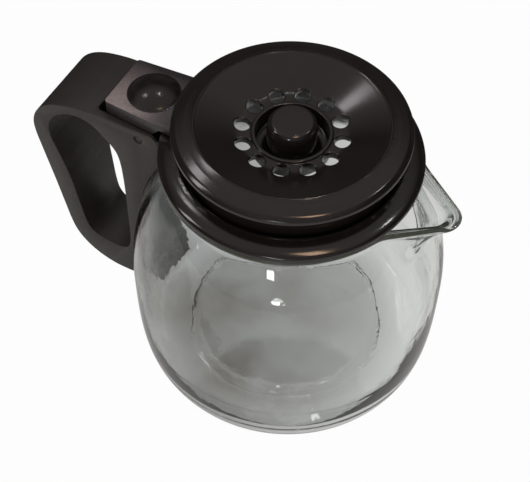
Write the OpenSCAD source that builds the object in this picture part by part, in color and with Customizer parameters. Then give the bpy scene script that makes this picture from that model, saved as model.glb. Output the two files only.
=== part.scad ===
// Coffee server carafe: a blown glass bowl with a pulled pouring lip, a moulded
// collar and closed handle, and a brew-through lid that swings on a cross pin
// when its thumb lever is pressed.
// X runs from the handle (-X) to the pouring lip (+X) and Z is up. The bowl
// stands on Z = 0 with its centre over the origin. All lengths are millimetres.

/* [View] */
// Piece to draw, or all of them

/* [Bowl] */
// Outside radius of the bowl at its widest
bowl_r = 75.1; // [60:0.1:90]
// Height of the widest circle
bowl_mid_z = 53.3; // [40:0.1:70]
// Radius of the flat foot
foot_r = 62; // [45:0.5:70]
// Fullness of the heel, 2 is an ellipse and more is squarer
heel_fullness = 3.5; // [2:0.1:6]
// Height of the ellipse that the shoulder follows above the widest circle
shoulder_h = 92; // [60:0.5:120]
// Angle on that ellipse at which the shoulder turns into the neck
shoulder_angle = 43; // [30:0.5:60]
// Height at which the flared neck ends in the bead
flare_z = 126.3; // [100:0.1:150]
// Angle from upright that the flare reaches
flare_angle = 70; // [40:1:80]
// Wall thickness of the glass
glass_wall = 2.8; // [1.8:0.1:4]
// Extra thickness at the middle of the foot
foot_extra = 1.4; // [0:0.1:4]
// Radius of the fire-polished bead on the rim
bead_r = 1.7; // [1:0.1:3]

/* [Pouring lip] */
// Distance from the bowl's axis to the tip of the lip
lip_reach = 80.5; // [65:0.5:95]
// Half the width of the lip where it leaves the rim
lip_half_w = 24; // [12:0.5:30]
// Radius of the rounded tip
lip_tip_r = 9.5; // [3:0.5:12]
// Height at which the lip starts to leave the shoulder
lip_root_z = 101; // [85:0.5:115]
// Bow of the lip's front line, 1 is straight
lip_bow = 1.25; // [1:0.05:2]
// Width of the polished edge around the lip
lip_edge = 0.9; // [0.3:0.1:1.5]

/* [Collar] */
// Outside radius of the collar
collar_r = 59; // [50:0.1:70]
// Radius of the collar's mouth
collar_mouth_r = 50.2; // [40:0.1:60]
// Height of the collar's upright outer edge
collar_edge_h = 0.9; // [0.4:0.1:3]
// Rise of the collar from its outer edge to its mouth
collar_rise = 3.6; // [2:0.1:8]
// Height of the thin lip around the mouth
mouth_lip_h = 0.5; // [0.2:0.1:1.5]
// Width of that lip
mouth_lip_w = 0.8; // [0.4:0.1:2]
// Outside radius of the sleeve that hangs into the glass
sleeve_r = 52.2; // [45:0.1:60]
// Depth of the sleeve below the rim of the glass
sleeve_depth = 6.2; // [3:0.1:12]
// Radius of the opening inside the shelf that the lid rests over
shelf_r = 45.8; // [35:0.1:50]
// Thickness of the shelf
shelf_t = 1.6; // [1:0.1:3]
// Half the width of the gap left in the collar for the hinge
hinge_gap_half_w = 22.3; // [18:0.1:30]
// Half the width of the tongue that reaches back to the handle
tongue_half_w = 11; // [6:0.5:14]
// Thickness of the tongue
tongue_t = 1.6; // [1.2:0.1:1.7]
// Distance from the axis to the back of the tongue's upright
upright_x = 63.2; // [60:0.1:66]
// Distance from the axis to the back of the screw boss
boss_x = 71; // [66:0.1:75]
// Depth of the boss's top below the rim
boss_drop = 16.5; // [12:0.5:25]
// Height of the boss
boss_h = 12; // [8:0.5:20]

/* [Rim seal] */
// Height of the seal under the collar's flange
seal_h = 2.6; // [1:0.1:5]
// Width of the seal's foot
seal_foot_w = 0.7; // [0.4:0.1:2]
// Width of the seal's top
seal_top_w = 3.2; // [1:0.1:5]
// Half the width of the gap left in the seal for the pouring lip
seal_gap_half_w = 18; // [10:0.5:25]

/* [Handle] */
// Distance from the bowl's axis to the back of the handle
handle_reach = 128.1; // [110:0.1:150]
// Height of the handle's top face
handle_top = 127.2; // [100:0.1:150]
// Width of the handle across its hinge ears
handle_w = 38.6; // [25:0.1:50]
// Angle at which each side face leans in towards the foot
side_lean = 2.86; // [0:0.01:4]
// Angle at which each side face turns in towards the back
side_turn = 0.69; // [0:0.01:2]
// Distance from the axis to the front ends of the two hinge ears
ear_x = 57.5; // [55:0.1:62]
// Distance from the axis to the blind end of the hollow in the foot of the handle
core_x = 104; // [90:0.5:112]
// Depth of the hollow's roof above its floor
core_h = 11; // [5:0.5:15]
// Half the width of the hollow
core_half_w = 10.5; // [6:0.5:11]
// Thickness of the two ribs in the hollow
core_rib_t = 2; // [1:0.1:4]
// Distance of each rib from the middle
core_rib_y = 3.5; // [2:0.5:6]

/* [Hinge] */
// Distance from the axis to the hinge pin
pin_x = 68.1; // [64:0.1:72]
// Depth of the pin below the handle's top face
pin_drop = 5.7; // [4:0.1:9]
// Radius of the hinge pin
pin_r = 1.75; // [1:0.05:3]
// Distance of each pin end below the handle's side face
pin_recess = 0.8; // [0.2:0.1:2]
// Radius of the shallow seat around each pin end
pin_seat_r = 2.4; // [1.8:0.1:4]
// Running clearance around the pin in the lever
pin_play = 0.06; // [0.02:0.01:0.1]
// Radius of the lever's knuckle around the pin
knuckle_r = 4; // [3:0.1:6]
// Angle through which the lid opens
open_angle = 34; // [20:1:40]

/* [Thumb lever] */
// Height of the lever's top face above the handle's top face
lever_rise = 6.8; // [4:0.1:12]
// Distance from the axis to the lever's rear edge
lever_rear_x = 87.3; // [80:0.1:90]
// Half the width of the lever at its rear edge
lever_rear_half_w = 15; // [10:0.1:16]
// Half the width of the lever at the hinge ears' front ends
lever_front_half_w = 17.1; // [12:0.1:18]
// Thickness of the lever's top
lever_top_t = 2.6; // [1.5:0.1:4]
// Thickness of the lever's side walls
lever_wall = 2; // [1.2:0.1:3]
// Radius of the lever's rear corners
lever_corner_r = 1.4; // [1:0.1:5]
// Depth of the lever's rear wall
lever_rear_h = 6.4; // [4:0.1:8]
// Clearance around the lever in its pocket
pocket_gap = 0.5; // [0.3:0.1:1]
// Thickness of the saddle that lies against the lid's skirt
saddle_t = 3.2; // [2:0.1:4]
// Extra thickness of the saddle at its foot
saddle_flare = 2.6; // [0:0.1:4]
// Half the width of the saddle
saddle_half_w = 14.5; // [10:0.5:16]
// Height of the saddle above the lever's top face
saddle_h = 9.8; // [6:0.1:12]

/* [Thumb dome] */
// Radius of the thumb dome
dome_r = 12.4; // [8:0.1:13.5]
// Height of the dome above the lever
dome_h = 4.6; // [2:0.1:8]
// Distance from the axis to the dome's centre
dome_x = 69.9; // [66:0.1:74]
// Depth of the seat that the dome is set into
dome_seat = 0.6; // [0.3:0.1:1.2]
// Width of the step around the dome
dome_step = 0.5; // [0.2:0.1:1]
// Radius of the peg under the dome
peg_r = 3; // [1.5:0.1:4]
// Length of the peg under the dome
peg_h = 4.5; // [2:0.1:6]

/* [Lid] */
// Radius of the lid's rolled edge
lid_r = 52.6; // [45:0.1:60]
// Radius of the sharp line between rim band and dish
dish_r = 42.4; // [30:0.1:48]
// Height of that line above the glass rim
dish_rise = 21.4; // [15:0.1:28]
// Radius of the circle of brew holes
hole_circle_r = 22.1; // [18:0.1:30]
// Radius of each brew hole
hole_r = 3.65; // [2:0.05:5]
// Depth of the dish from its line to the brew holes
dish_depth = 7; // [3:0.1:12]
// Number of brew holes
hole_count = 12; // [6:1:18]
// Thickness of the lid's mouldings
lid_t = 2; // [1.4:0.1:3]
// Thickness of the plate around the brew holes
hole_plate_t = 3.2; // [1.4:0.1:5]
// Inside radius of the drip wall under the plate
drip_r = 27.6; // [27.4:0.1:36]
// Depth of that wall below the dish floor
drip_depth = 6.6; // [6:0.1:26]
// Outside radius of the raised ring inside the holes
ring_r = 17.6; // [14:0.1:18]
// Height of the raised ring above the dish floor
ring_h = 1; // [0.4:0.1:2]
// Depth of the well below the top of the raised ring
well_depth = 7.8; // [4:0.1:10]

/* [Lid skirt] */
// Outside radius of the skirt at its lower edge
skirt_foot_r = 47.6; // [44:0.1:49]
// Outside radius of the skirt at its upper edge
skirt_top_r = 48.4; // [44:0.1:50]
// Clearance between the skirt and the shelf that it rests over
rest_gap = 0.35; // [0.3:0.05:1]

/* [Knob] */
// Radius of the knob's flat top
knob_top_r = 8.6; // [6:0.1:12]
// Radius of the knob's barrel
knob_r = 11.1; // [8:0.1:14]
// Radius of the knob's stem in the well floor
stem_r = 9.4; // [6:0.1:11]
// Height of the knob's top above the dish line
knob_rise = 0.7; // [-2:0.1:5]
// Drop of the rounded shoulder
knob_shoulder_h = 5; // [2:0.1:6]

/* [Screws] */
// Radius of the screws that hold the handle to the collar
screw_r = 2; // [1.5:0.1:3]
// Radius of their heads
screw_head_r = 3.5; // [2.5:0.1:5]
// Height of their heads
screw_head_h = 2.4; // [1.5:0.1:4]
// Distance of each of these screws from the middle
screw_y = 5.8; // [4:0.1:7]
// Radius of the screws that hold the lever to the skirt
small_screw_r = 1.4; // [1:0.1:2]
// Radius of their heads
small_head_r = 2.6; // [1.8:0.1:3.5]
// Height of their heads
small_head_h = 1.6; // [1:0.1:2.5]
// Distance of each small screw from the middle
small_screw_y = 8; // [5:0.5:11]

/* [Hidden] */
$fn = 96;

// One overrun serves every cut, and one hairline keeps a fixed fit from touching
over = glass_wall;
fit = pin_play / 3;
seat_gap = pocket_gap / 5;
glass_gap = pocket_gap * 0.8;
pocket_corner_r = lever_corner_r + pocket_gap * 1.6;

// Outside line of the glass, from the foot to the bead
heel_steps = 18;
shoulder_steps = 16;
neck_steps = 12;
function heel_pt(a) = [
    foot_r + (bowl_r - foot_r) * pow(sin(a), 2 / heel_fullness),
    bowl_mid_z * (1 - pow(cos(a), 2 / heel_fullness))];
function shoulder_pt(a) = [bowl_r * cos(a), bowl_mid_z + shoulder_h * sin(a)];
neck_foot = shoulder_pt(shoulder_angle);
neck_in = atan(bowl_r / shoulder_h * tan(shoulder_angle));
neck_arc_r = (flare_z - neck_foot[1]) / (sin(neck_in) + sin(flare_angle));
neck_c = [neck_foot[0] + neck_arc_r * cos(neck_in), neck_foot[1] + neck_arc_r * sin(neck_in)];
function neck_pt(a) = [neck_c[0] - neck_arc_r * cos(a), neck_c[1] + neck_arc_r * sin(a)];
outer_line = concat(
    [[0, 0]],
    [for (i = [0:heel_steps]) heel_pt(90 * i / heel_steps)],
    [for (i = [1:shoulder_steps]) shoulder_pt(shoulder_angle * i / shoulder_steps)],
    [for (i = [1:neck_steps]) neck_pt(-neck_in + (neck_in + flare_angle) * i / neck_steps)]);
last_i = len(outer_line) - 1;

// A line parallel to the outside line, inwards for a positive distance
function wall_at(z) = glass_wall + foot_extra * pow(max(0, 1 - z / bowl_mid_z), 2);
function unit(v) = v / norm(v);
function left_of(v) = [-v[1], v[0]];
function normal_at(i) = i == 0 ? [0, 1] : left_of(unit(outer_line[min(i + 1, last_i)] - outer_line[i - 1]));
inner_line = [for (i = [0:last_i]) outer_line[i] + wall_at(outer_line[i][1]) * normal_at(i)];
function clear_line(gap) = [for (i = [0:last_i]) outer_line[i] - gap * normal_at(i)];

bead_c = outer_line[last_i] + glass_wall / 2 * normal_at(last_i);
rim_z = bead_c[1] + bead_r;

// Radius of the glass at a height above its widest circle
upper_table = [for (i = [heel_steps + 1:last_i]) [outer_line[i][1], outer_line[i][0]]];
function glass_r_at(z) = lookup(z, upper_table);

module revolved(line) {
    rotate_extrude()
        polygon(line);
}

// Everything inside the outside line, grown by a gap
module bowl_envelope(gap) {
    line = clear_line(gap);
    revolved(concat(line, [[0, line[last_i][1]]]));
    translate([0, 0, bead_c[1]])
        rotate_extrude()
            translate([bead_c[0], 0])
                circle(r = bead_r + gap, $fn = 32);
}

// The pouring lip: the rim is drawn out to a V with a rounded tip. Each point of
// that V is a turn about the axis and a distance beyond the round rim. Lower down
// the same V is narrower and drawn out less, until it melts into the shoulder.
lip_levels = 12;
lip_tip_steps = 6;
lip_side_steps = 8;
lip_narrow = 0.42;
lip_c = lip_reach - lip_tip_r;
lip_rim_r = glass_r_at(flare_z);
lip_side = [lip_c - sqrt(lip_rim_r * lip_rim_r - lip_half_w * lip_half_w), lip_half_w];
lip_alpha = acos(-lip_tip_r / norm(lip_side)) - atan2(lip_side[1], lip_side[0]);
lip_away = lip_c * cos(lip_alpha) + lip_tip_r;
function lip_plan(inset) =
    let (
        tip_r = lip_tip_r - inset,
        round_r = lip_rim_r - inset,
        away = lip_away - inset,
        edge = [lip_c + tip_r * cos(lip_alpha), tip_r * sin(lip_alpha)],
        run = lip_c * sin(lip_alpha) - sqrt(round_r * round_r - away * away),
        points = concat(
            [for (i = [0:lip_tip_steps]) let (a = lip_alpha * i / lip_tip_steps)
                [lip_c + tip_r * cos(a), tip_r * sin(a)]],
            [for (i = [1:lip_side_steps])
                edge + run * i / lip_side_steps * [-sin(lip_alpha), cos(lip_alpha)]]))
    [for (p = points) [atan2(p[1], p[0]), norm(p) - round_r]];
function lip_front(t) = let (root = glass_r_at(lip_root_z))
    root + (lip_reach - root) * pow(t, lip_bow);
function lip_draw(t, z) = (lip_front(t) - glass_r_at(z)) / (lip_reach - lip_rim_r);
function lip_section(t, z, inset, trim, back) =
    let (
        draw = lip_draw(t, min(z, flare_z)),
        narrow = lip_narrow + (1 - lip_narrow) * t,
        sink = glass_wall / 3,
        base = glass_r_at(min(z, flare_z)) - inset * 1.1 - sink - trim,
        side = [for (p = lip_plan(inset)) let (a = p[0] * narrow, r = base + draw * (p[1] + sink))
            [r * cos(a), r * sin(a), z]],
        n = len(side),
        last = side[n - 1])
    concat(
        [[back, -last[1], z]],
        [for (i = [n - 1:-1:1]) [side[i][0], -side[i][1], z]],
        side,
        [[back, last[1], z]]);

module stacked(sections) {
    n = len(sections[0]);
    m = len(sections);
    polyhedron(
        points = [for (s = sections) each s],
        faces = concat(
            [[for (i = [0:n - 1]) i]],
            [[for (i = [n - 1:-1:0]) (m - 1) * n + i]],
            [for (j = [0:m - 2]) for (i = [0:n - 1]) let (k = (i + 1) % n)
                [j * n + i, (j + 1) * n + i, (j + 1) * n + k]],
            [for (j = [0:m - 2]) for (i = [0:n - 1]) let (k = (i + 1) % n)
                [j * n + i, (j + 1) * n + k, j * n + k]]),
        convexity = 4);
}

lip_round_steps = 4;
function lip_round(i, r) = let (a = 90 * i / lip_round_steps) [r * (1 - cos(a)), r * sin(a)];
lip_top_z = rim_z - lip_edge;
module lip_outside() {
    stacked(concat(
        [for (i = [0:lip_levels]) let (t = i / lip_levels)
            lip_section(t, lip_root_z + (lip_top_z - lip_root_z) * t, 0, 0, shelf_r)],
        [for (i = [1:lip_round_steps]) let (q = lip_round(i, lip_edge))
            lip_section(1, lip_top_z + q[1], 0, q[0], shelf_r)]));
}

module lip_channel() {
    low_z = lip_root_z + glass_wall;
    stacked(concat(
        [for (i = [0:lip_levels]) let (t = i / lip_levels)
            lip_section(t, low_z + (lip_top_z - low_z) * t, glass_wall, 0, 0)],
        [for (i = [1:lip_round_steps]) let (q = lip_round(i, lip_edge))
            lip_section(1, lip_top_z + q[1], glass_wall, -q[0], 0)],
        [lip_section(1, rim_z + over, glass_wall, -lip_edge, 0)]));
}

module glass_bowl() {
    color([0.82, 0.88, 0.86, 0.35])
        difference() {
            union() {
                revolved(concat(outer_line, [[0, outer_line[last_i][1]]]));
                translate([0, 0, bead_c[1]])
                    rotate_extrude()
                        translate([bead_c[0], 0])
                            circle(r = bead_r, $fn = 32);
                lip_outside();
            }
            revolved(concat(inner_line, [[inner_line[last_i][0], rim_z + over], [0, rim_z + over]]));
            lip_channel();
        }
}

// Collar: a sloping ring that rests on the bead, with a sleeve inside the glass
// and a shelf that stops the lid
flange_z = rim_z + seat_gap;
collar_top = flange_z + collar_edge_h + collar_rise;
sleeve_z = rim_z - sleeve_depth;
shelf_top = sleeve_z + shelf_t;
slope_w = collar_r - collar_mouth_r - mouth_lip_w;
bow_steps = 8;
sleeve_foot_r = collar_mouth_r + fit;
module collar_section() {
    edge_z = flange_z + collar_edge_h;
    polygon(concat(
        [[collar_r, flange_z]],
        [for (i = [0:bow_steps]) let (a = 70 * i / bow_steps, k = sin(70))
            [collar_r - slope_w * (1 - cos(a)) / (1 - cos(70)), edge_z + collar_rise * sin(a) / k]],
        [[collar_mouth_r + mouth_lip_w, collar_top + mouth_lip_h],
            [collar_mouth_r, collar_top + mouth_lip_h],
            [collar_mouth_r, shelf_top],
            [shelf_r, shelf_top],
            [shelf_r, sleeve_z],
            [sleeve_foot_r, sleeve_z],
            [sleeve_r, sleeve_z + sleeve_depth / 2],
            [sleeve_r, flange_z]]));
}

boss_top = rim_z - boss_drop;
boss_z = boss_top - boss_h;
screw_z = boss_z + boss_h / 2;
module collar() {
    color([0.05, 0.04, 0.035])
        difference() {
            union() {
                difference() {
                    rotate_extrude($fn = 128)
                        collar_section();
                    translate([-collar_r - over, -hinge_gap_half_w, flange_z + collar_edge_h])
                        cube([collar_r + over - skirt_foot_r / 2, 2 * hinge_gap_half_w, collar_r]);
                }
                difference() {
                    translate([-upright_x, -tongue_half_w, flange_z])
                        cube([upright_x - shelf_r, 2 * tongue_half_w, tongue_t]);
                    cylinder(r = collar_mouth_r, h = collar_top, $fn = 128);
                }
                difference() {
                    union() {
                        translate([-upright_x, -tongue_half_w, boss_z])
                            cube([upright_x - shelf_r, 2 * tongue_half_w, flange_z - boss_z]);
                        translate([-boss_x, -tongue_half_w, boss_z])
                            cube([boss_x - shelf_r, 2 * tongue_half_w, boss_h]);
                    }
                    bowl_envelope(glass_gap);
                    cylinder(r = bead_c[0], h = flange_z);
                }
            }
            for (side = [-1, 1])
                translate([-boss_x - over, side * screw_y, screw_z])
                    rotate([0, 90, 0])
                        cylinder(r = screw_r + fit, h = boss_x);
        }
}

// Seal: a soft wedge between the collar's sleeve and the flare of the glass
module rim_seal() {
    color([0.16, 0.16, 0.17])
        difference() {
            rotate_extrude()
                polygon([
                    [sleeve_r, flange_z],
                    [sleeve_r, flange_z - seal_h],
                    [sleeve_r + seal_foot_w, flange_z - seal_h],
                    [sleeve_r + seal_top_w, flange_z]]);
            translate([collar_r / 2, -seal_gap_half_w, sleeve_z])
                cube([collar_r, 2 * seal_gap_half_w, collar_r]);
        }
}

// Handle side outline, in shares of its reach and of its height. The first list
// is the outside from the front of the top face round to the glass at the foot,
// and the second is the finger hole.
outside_shares = [
    [0.4512, 0.9139], [0.4501, 0.9462], [0.4549, 0.9796], [0.4684, 0.9945], [0.4879, 1.0000],
    [0.5763, 1.0000], [0.6609, 1.0000], [0.7306, 0.9994], [0.7988, 0.9899], [0.8608, 0.9740],
    [0.9130, 0.9488], [0.9541, 0.9129], [0.9832, 0.8670], [0.9985, 0.8160], [1.0001, 0.7589],
    [0.9906, 0.6813], [0.9746, 0.5733], [0.9569, 0.4471], [0.9417, 0.3264], [0.9291, 0.2295],
    [0.9095, 0.1561], [0.8708, 0.0959], [0.8137, 0.0501], [0.7515, 0.0258], [0.6936, 0.0198],
    [0.6386, 0.0219]];
hole_shares = [
    [0.9330, 0.8118], [0.9151, 0.8629], [0.8837, 0.9044], [0.8452, 0.9328], [0.8028, 0.9467],
    [0.7617, 0.9465], [0.7280, 0.9337], [0.7015, 0.9101], [0.6764, 0.8809], [0.6526, 0.8512],
    [0.6359, 0.8167], [0.6284, 0.7656], [0.6268, 0.6941], [0.6283, 0.6081], [0.6318, 0.5148],
    [0.6362, 0.4206], [0.6410, 0.3290], [0.6484, 0.2496], [0.6663, 0.1976], [0.7038, 0.1763],
    [0.7576, 0.1772], [0.8088, 0.1933], [0.8414, 0.2276], [0.8569, 0.2926], [0.8669, 0.3907],
    [0.8787, 0.4999], [0.8949, 0.5980], [0.9150, 0.6814], [0.9316, 0.7521]];

// A smooth curve through the points of a list
function blend(p0, p1, p2, p3, t) =
    ((2 * p1) + (p2 - p0) * t + (2 * p0 - 5 * p1 + 4 * p2 - p3) * t * t
        + (3 * p1 - p0 - 3 * p2 + p3) * t * t * t) / 2;
function smooth_open(p, steps) = let (n = len(p)) concat(
    [for (i = [0:n - 2]) for (s = [0:steps - 1])
        blend(p[max(i - 1, 0)], p[i], p[i + 1], p[min(i + 2, n - 1)], s / steps)],
    [p[n - 1]]);
function smooth_ring(p, steps) = let (n = len(p))
    [for (i = [0:n - 1]) for (s = [0:steps - 1])
        blend(p[(i + n - 1) % n], p[i], p[(i + 1) % n], p[(i + 2) % n], s / steps)];
function placed(shares) = [for (s = shares) [-handle_reach * s[0], handle_top * s[1]]];
curve_steps = 4;
handle_outside = concat(
    [for (p = smooth_open(placed(outside_shares), curve_steps)) [min(p[0], -ear_x), p[1]]],
    [[-ear_x, handle_top * outside_shares[len(outside_shares) - 1][1]]]);
handle_hole = smooth_ring(placed(hole_shares), curve_steps);

// Everything beyond one side face: the faces lean in towards the foot and the back
module beyond_side() {
    translate([-boss_x, handle_w / 2, handle_top])
        rotate([-side_lean, 0, -side_turn])
            translate([-handle_reach, 0, -handle_top * 1.5])
                cube([2 * handle_reach, handle_w, 2 * handle_top]);
}

pin_z = handle_top - pin_drop;
lever_top = handle_top + lever_rise;

// A side profile drawn in X and Z, spread evenly to both sides of the middle
module across(width) {
    rotate([90, 0, 0])
        linear_extrude(height = width, center = true, convexity = 4)
            children();
}

// Plan of the lever, grown by a gap and with its rear edge moved back
function half_at(x) = lever_rear_half_w
    + (lever_front_half_w - lever_rear_half_w) * (lever_rear_x - x) / (lever_rear_x - ear_x);
corner_steps = 6;
module lever_plan(gap, back, front, corner = lever_corner_r) {
    rear = lever_rear_x + back;
    half = half_at(lever_rear_x) + gap;
    side_corner = [for (i = [0:corner_steps]) let (a = 90 * i / corner_steps)
        [-rear + corner * (1 - sin(a)), half - corner * (1 - cos(a))]];
    tip = half_at(front) + gap;
    polygon(concat(
        [[-front, -tip], [-front, tip]],
        [for (p = side_corner) [p[0], p[1]]],
        [for (i = [corner_steps:-1:0]) [side_corner[i][0], -side_corner[i][1]]]));
}

// The pocket follows the rear of the lever through its whole swing
function swung(p, angle) = [
    -pin_x + p[0] * cos(angle) - p[1] * sin(angle),
    pin_z + p[0] * sin(angle) + p[1] * cos(angle)];
rear_top = [pin_x - lever_rear_x, lever_top - pin_z];
rear_low = [pin_x - lever_rear_x, lever_top - lever_rear_h - pin_z];
swung_top = swung(rear_top, open_angle);
swung_low = swung(rear_low, open_angle);
pocket_back = norm(rear_top) + pocket_gap - (lever_rear_x - pin_x);
pocket_floor = swung_low[1] - pocket_gap;
module handle_pocket() {
    intersection() {
        translate([0, 0, pocket_floor])
            linear_extrude(height = handle_top)
                lever_plan(pocket_gap, pocket_back, ear_x - over, pocket_corner_r);
        across(2 * handle_w)
            polygon([
                [swung_low[0] - pocket_gap / 2, pocket_floor],
                [-lever_rear_x - pocket_back, swung_top[1] - pocket_gap],
                [-lever_rear_x - pocket_back, handle_top + over],
                [over - ear_x, handle_top + over],
                [over - ear_x, pocket_floor]]);
    }
}

// Hollow that cores out the foot of the handle from the side against the glass
module handle_core() {
    floor_z = handle_top * outside_shares[len(outside_shares) - 1][1] + glass_wall * 1.4;
    difference() {
        across(2 * core_half_w)
            polygon([
                [-bowl_r + over, floor_z],
                [-core_x + core_h * 1.4, floor_z],
                [-core_x + core_h * 0.5, floor_z + core_h * 0.28],
                [-core_x, floor_z + core_h * 0.75],
                [-core_x + core_h * 0.1, floor_z + core_h],
                [-bowl_r + over, floor_z + core_h]]);
        for (side = [-1, 1])
            translate([-core_x, side * core_rib_y - core_rib_t / 2, 0])
                cube([core_x, core_rib_t, handle_top / 2]);
    }
}

screw_seat_x = boss_x + pin_drop;
module handle() {
    slot_half_w = tongue_half_w + pocket_gap;
    color([0.06, 0.055, 0.055])
        difference() {
            across(handle_w * 1.1)
                difference() {
                    polygon(handle_outside);
                    polygon(handle_hole);
                }
            for (side = [0, 1])
                mirror([0, side, 0])
                    beyond_side();
            bowl_envelope(glass_gap);
            handle_pocket();
            handle_core();
            translate([-boss_x - seat_gap, -slot_half_w, boss_z - pocket_gap])
                cube([boss_x, 2 * slot_half_w, boss_h + 2 * pocket_gap]);
            translate([-upright_x - pocket_gap, -slot_half_w, boss_z])
                cube([upright_x, 2 * slot_half_w, handle_top]);
            translate([-pin_x, 0, pin_z])
                rotate([90, 0, 0])
                    cylinder(r = pin_r + fit, h = handle_w + 2 * over, center = true);
            for (side = [-1, 1])
                translate([-pin_x, side * handle_w / 2, pin_z])
                    rotate([90, 0, 0])
                        cylinder(r = pin_seat_r, h = 2 * pin_recess, center = true, $fn = 48);
            for (side = [-1, 1])
                translate([0, side * screw_y, screw_z]) {
                    translate([-handle_reach * 0.72, 0, 0])
                        rotate([0, 90, 0])
                            cylinder(r = screw_head_r + pocket_gap, h = handle_reach * 0.72 - screw_seat_x);
                    translate([-screw_seat_x - over, 0, 0])
                        rotate([0, 90, 0])
                            cylinder(r = screw_r + fit, h = 2 * over + screw_seat_x - boss_x);
                }
        }
}

// A pan-head screw along +X with the underside of its head at the origin
module pan_screw(r, head_r, head_h, length) {
    slot = head_h / 3;
    difference() {
        union() {
            rotate([0, 90, 0])
                cylinder(r = r, h = length);
            rotate([0, -90, 0]) {
                cylinder(r = head_r, h = head_h * 0.6);
                translate([0, 0, head_h * 0.6])
                    cylinder(r1 = head_r, r2 = head_r * 0.7, h = head_h * 0.4);
            }
        }
        for (turn = [0, 90])
            rotate([turn, 0, 0])
                translate([-head_h * 1.1, -head_r * 0.6, -slot / 2])
                    cube([head_h * 0.7, head_r * 1.2, slot]);
    }
}

screw_length = screw_seat_x - glass_r_at(screw_z) - glass_gap - screw_r;
module handle_screws() {
    color([0.7, 0.7, 0.72])
        for (side = [-1, 1])
            translate([-screw_seat_x, side * screw_y, screw_z])
                pan_screw(screw_r, screw_head_r, screw_head_h, screw_length);
}

module hinge_pin() {
    length = handle_w - 2 * pin_recess;
    chamfer = pin_r / 5;
    color([0.72, 0.72, 0.74])
        translate([-pin_x, length / 2, pin_z])
            rotate([90, 0, 0])
                rotate_extrude($fn = 48)
                    polygon([
                        [0, 0],
                        [pin_r - chamfer, 0],
                        [pin_r, chamfer],
                        [pin_r, length - chamfer],
                        [pin_r - chamfer, length],
                        [0, length]]);
}

// Lid plate: rolled rim band, sloping dish, ring of brew holes and a well for the knob
dish_line_z = rim_z + dish_rise;
dish_floor_z = dish_line_z - dish_depth;
floor_r = hole_circle_r + hole_r * 0.4;
ring_top_z = dish_floor_z + ring_h;
well_floor_z = ring_top_z - well_depth;
well_r = ring_r - ring_h * 1.6;
well_t = lid_t * 0.9;
knob_top_z = dish_line_z + knob_rise;
band_w = lid_r - dish_r;
edge_z = dish_line_z - band_w * 0.36;
edge_low_z = edge_z - lid_t * 0.8;
landing_z = edge_z + lid_t * 0.35;
drip_t = lid_t * 0.7;
drip_low_z = dish_floor_z - drip_depth;
function under_at(r) = dish_line_z - lid_t - dish_depth * (dish_r - r) / (dish_r - floor_r - ring_h);
module lid_plate() {
    color([0.05, 0.04, 0.035])
        difference() {
            rotate_extrude($fn = 128)
                polygon([
                    [stem_r + fit, well_floor_z],
                    [well_r - ring_h / 2, well_floor_z],
                    [well_r, well_floor_z + ring_h / 2],
                    [well_r, ring_top_z - ring_h * 0.3],
                    [well_r + ring_h * 0.3, ring_top_z],
                    [ring_r - ring_h * 0.4, ring_top_z],
                    [ring_r, ring_top_z - ring_h * 0.4],
                    [ring_r + ring_h * 0.3, dish_floor_z],
                    [floor_r - ring_h, dish_floor_z],
                    [floor_r + ring_h, dish_floor_z + ring_h * 0.35],
                    [dish_r - ring_h * 0.3, dish_line_z - ring_h * 0.1],
                    [dish_r + ring_h * 0.3, dish_line_z],
                    [dish_r + band_w * 0.35, dish_line_z - band_w * 0.02],
                    [dish_r + band_w * 0.62, dish_line_z - band_w * 0.08],
                    [dish_r + band_w * 0.82, dish_line_z - band_w * 0.17],
                    [dish_r + band_w * 0.95, dish_line_z - band_w * 0.28],
                    [lid_r, edge_z],
                    [lid_r, edge_low_z + ring_h * 0.3],
                    [lid_r - ring_h * 0.3, edge_low_z],
                    [lid_r - lid_t * 0.7, edge_low_z],
                    [lid_r - lid_t * 0.8, edge_z],
                    [skirt_top_r + fit, landing_z],
                    [skirt_top_r - lid_t, landing_z],
                    [skirt_top_r - lid_t - 2 * seat_gap, landing_z],
                    [skirt_top_r - lid_t - 2 * seat_gap, landing_z - lid_t],
                    [skirt_top_r - lid_t * 1.8, landing_z - lid_t],
                    [skirt_top_r - lid_t * 1.8, dish_line_z - lid_t],
                    [dish_r, dish_line_z - lid_t],
                    [drip_r + drip_t, under_at(drip_r + drip_t)],
                    [drip_r + drip_t, drip_low_z],
                    [drip_r, drip_low_z],
                    [drip_r, under_at(drip_r)],
                    [floor_r + ring_h, dish_floor_z - hole_plate_t],
                    [well_r + well_t, dish_floor_z - hole_plate_t],
                    [well_r + well_t, well_floor_z - lid_t],
                    [stem_r + fit, well_floor_z - lid_t]]);
            for (i = [0:hole_count - 1])
                rotate([0, 0, 360 * (i + 0.5) / hole_count])
                    translate([hole_circle_r, 0, dish_floor_z - lid_t * 2])
                        cylinder(r = hole_r, h = lid_t * 4, $fn = 40);
        }
}

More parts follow.
